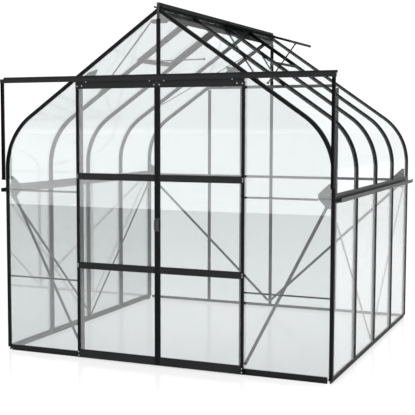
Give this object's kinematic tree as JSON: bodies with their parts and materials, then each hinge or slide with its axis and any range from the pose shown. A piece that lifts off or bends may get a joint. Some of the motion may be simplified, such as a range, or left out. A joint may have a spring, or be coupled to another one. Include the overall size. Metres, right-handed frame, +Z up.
{
  "type": "greenhouse",
  "caption": "Free-standing glazed greenhouse with curved eaves, double sliding doors on a top track, ridge-hinged roof vents, gutters and a bolted base frame.",
  "frame": {"origin": "centre of the base on the ground, which is also the centre of the pattern of base anchor bolts", "axes": "+X to the right, +Y to the back (the doors face -Y), +Z up"},
  "size_m": [2.626, 2.563, 2.556],
  "materials": {
    "coated_frame": "satin powder coat",
    "coated_door": "satin powder coat",
    "coated_gutter": "satin powder coat",
    "coated_strip": "satin powder coat",
    "clear_glass": "clear float glass",
    "zinc_steel": "zinc plated",
    "nylon": "moulded nylon",
    "black_plastic": "moulded, fine grain"
  },
  "bodies": {
    "house": {"front_sill": "coated_frame", "rear_sill": "coated_frame", "left_sill": "coated_frame", "right_sill": "coated_frame", "left_front_post": "coated_frame", "right_front_post": "coated_frame", "rear_corner_posts": "coated_frame", "left_wall_posts": "coated_frame", "right_wall_posts": "coated_frame", "left_front_rafter": "coated_frame", "right_front_rafter": "coated_frame", "rear_rafters": "coated_frame", "left_roof_bars": "coated_frame", "right_roof_bars": "coated_frame", "ridge_bar": "coated_frame", "left_gutter": "coated_gutter", "right_gutter": "coated_gutter", "left_door_post": "coated_frame", "right_door_post": "coated_frame", "gable_post": "coated_frame", "pane_strips": "coated_frame", "door_header": "coated_frame", "door_track": "coated_frame", "track_brackets": "coated_frame", "eave_ties": "coated_frame", "rear_posts": "coated_frame", "rear_crossbar": "coated_frame", "wall_braces": "coated_strip", "gable_braces": "coated_strip", "roof_braces": "coated_strip", "gussets": "coated_frame", "wall_glass": "clear_glass", "eave_glass": "clear_glass", "roof_glass": "clear_glass", "front_glass": "clear_glass", "rear_glass": "clear_glass", "frame_bolts": "zinc_steel", "vent_sills": "coated_frame", "vent_pegs": "zinc_steel"},
    "left_door": {"left_door_stiles": "coated_door", "left_door_rails": "coated_door", "left_door_glass": "clear_glass", "left_door_hangers": "zinc_steel", "left_door_handle": "black_plastic"},
    "right_door": {"right_door_stiles": "coated_door", "right_door_rails": "coated_door", "right_door_glass": "clear_glass", "right_door_hangers": "zinc_steel", "right_door_handle": "black_plastic"},
    "left_front_roller": {"left_door_front_roller": "nylon"},
    "left_rear_roller": {"left_door_rear_roller": "nylon"},
    "right_front_roller": {"right_door_front_roller": "nylon"},
    "right_rear_roller": {"right_door_rear_roller": "nylon"},
    "left_vent": {"left_vent_frame": "coated_frame", "left_vent_glass": "clear_glass"},
    "left_stay": {"left_vent_stay": "coated_strip"},
    "right_vent": {"right_vent_frame": "coated_frame", "right_vent_glass": "clear_glass"},
    "right_stay": {"right_vent_stay": "coated_strip"}
  },
  "joints": [
    {"name": "left_door_slide", "type": "slide", "parent": "house", "child": "left_door", "axis": [-1, 0, 0], "range_m": [0, 0.6]},
    {"name": "right_door_slide", "type": "slide", "parent": "house", "child": "right_door", "axis": [1, 0, 0], "range_m": [0, 0.6]},
    {"name": "left_front_roller_spin", "type": "hinge", "parent": "left_door", "child": "left_front_roller", "pos_m": [-0.048, -1.293, 2.0333], "axis": [0, 1, 0], "range_deg": [-3442.7, 0]},
    {"name": "left_rear_roller_spin", "type": "hinge", "parent": "left_door", "child": "left_rear_roller", "pos_m": [-0.597, -1.293, 2.0333], "axis": [0, 1, 0], "range_deg": [-3442.7, 0]},
    {"name": "right_front_roller_spin", "type": "hinge", "parent": "right_door", "child": "right_front_roller", "pos_m": [0.048, -1.293, 2.0333], "axis": [0, 1, 0], "range_deg": [0, 3442.7]},
    {"name": "right_rear_roller_spin", "type": "hinge", "parent": "right_door", "child": "right_rear_roller", "pos_m": [0.597, -1.293, 2.0333], "axis": [0, 1, 0], "range_deg": [0, 3442.7]},
    {"name": "right_vent_hinge", "type": "hinge", "parent": "house", "child": "right_vent", "pos_m": [0.03, 0.3105, 2.53], "axis": [0, -1, 0], "range_deg": [-19.4, 25.6]},
    {"name": "left_vent_hinge", "type": "hinge", "parent": "house", "child": "left_vent", "pos_m": [-0.03, -0.3105, 2.53], "axis": [0, 1, 0], "range_deg": [0, 45]},
    {"name": "right_stay_hinge", "type": "hinge", "parent": "right_vent", "child": "right_stay", "pos_m": [0.50969, 0.3105, 2.37017], "axis": [0, 1, 0], "range_deg": [-20, 26]},
    {"name": "left_stay_hinge", "type": "hinge", "parent": "left_vent", "child": "left_stay", "pos_m": [-0.42937, -0.3105, 2.21991], "axis": [0, 1, 0], "range_deg": [0, 46]}
  ],
  "couplings": [
    {"joint": "left_front_roller_spin", "follows": "left_door_slide", "rad_per_m": -100},
    {"joint": "left_rear_roller_spin", "follows": "left_door_slide", "rad_per_m": -100},
    {"joint": "right_front_roller_spin", "follows": "right_door_slide", "rad_per_m": 100},
    {"joint": "right_rear_roller_spin", "follows": "right_door_slide", "rad_per_m": 100},
    {"joint": "right_stay_hinge", "follows": "right_vent_hinge", "ratio": 1},
    {"joint": "left_stay_hinge", "follows": "left_vent_hinge", "ratio": 1}
  ]
}
